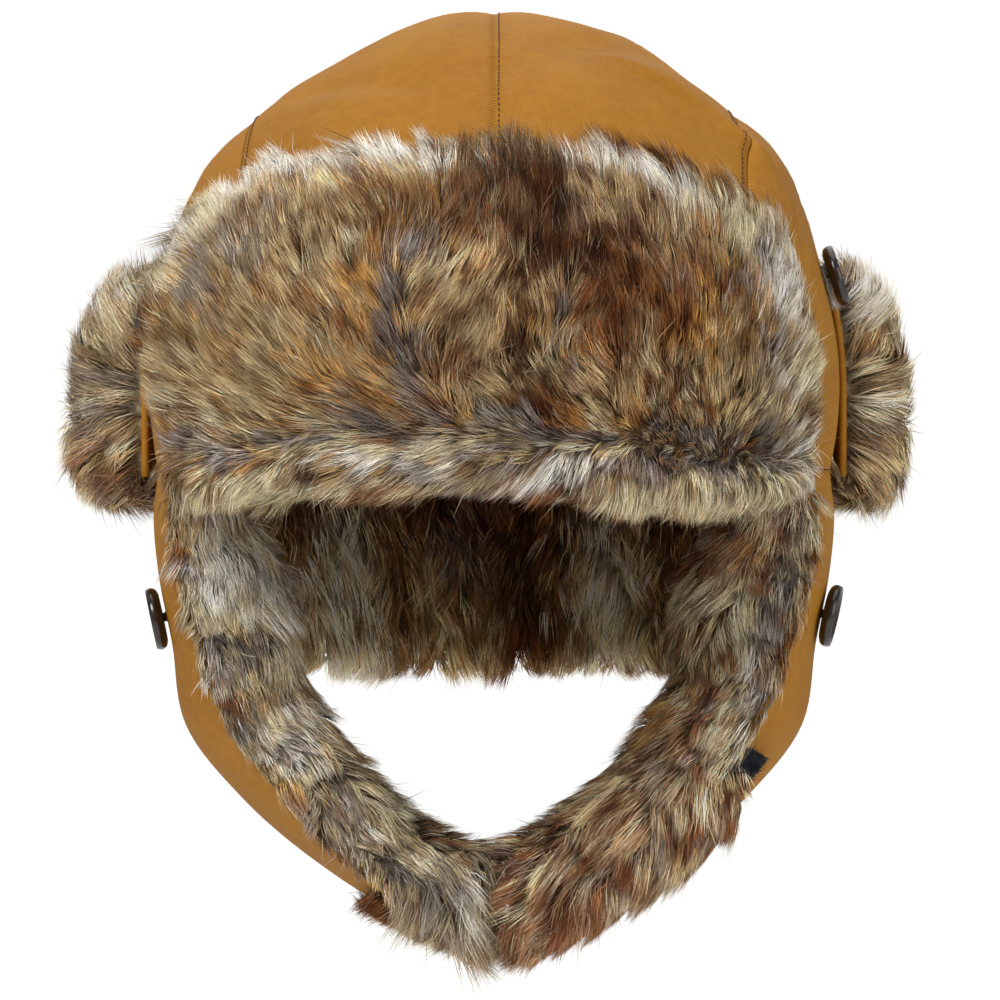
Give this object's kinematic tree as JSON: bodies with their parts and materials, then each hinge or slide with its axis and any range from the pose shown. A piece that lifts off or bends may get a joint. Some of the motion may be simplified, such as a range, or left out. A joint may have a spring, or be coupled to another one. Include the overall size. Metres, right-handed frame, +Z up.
{
  "type": "trapper winter cap with ear flaps",
  "caption": "Winter trapper cap: a panelled fabric crown, a turned-up fur front flap, fur-lined ear flaps joined under the chin, a fur cuff and dark coat buttons",
  "frame": {"origin": "on the inside of the crown's top, where the wearer's head bears; the mount head_seat", "axes": "+Z up; the face looks along -Y; +X is the right-hand side as seen from the front; the cap is narrowest along X"},
  "size_m": [0.2807, 0.3089, 0.2993],
  "materials": {
    "shell_fabric": "satin",
    "faux_fur": "long pile",
    "button": "polished",
    "thread": "matte",
    "elastic": "matte",
    "hook_tape": "matte"
  },
  "bodies": {
    "root": {"crown_center_left": "shell_fabric", "crown_center_right": "shell_fabric", "crown_side_left": "shell_fabric", "crown_side_right": "shell_fabric", "ear_flap_left": "shell_fabric", "ear_flap_right": "shell_fabric", "neck_guard": "shell_fabric", "front_flap_backing": "shell_fabric", "cuff_backing": "shell_fabric", "front_flap_fur": "faux_fur", "ear_fur_left": "faux_fur", "ear_fur_right": "faux_fur", "neck_fur": "faux_fur", "cuff_fur": "faux_fur", "crown_button_left": "button", "crown_button_right": "button", "flap_button_left": "button", "flap_button_right": "button", "crown_button_left_thread": "thread", "crown_button_right_thread": "thread", "flap_button_left_thread": "thread", "flap_button_right_thread": "thread", "button_loop_left": "elastic", "button_loop_right": "elastic", "hook_patch": "hook_tape", "chin_patch": "hook_tape"}
  },
  "joints": []
}
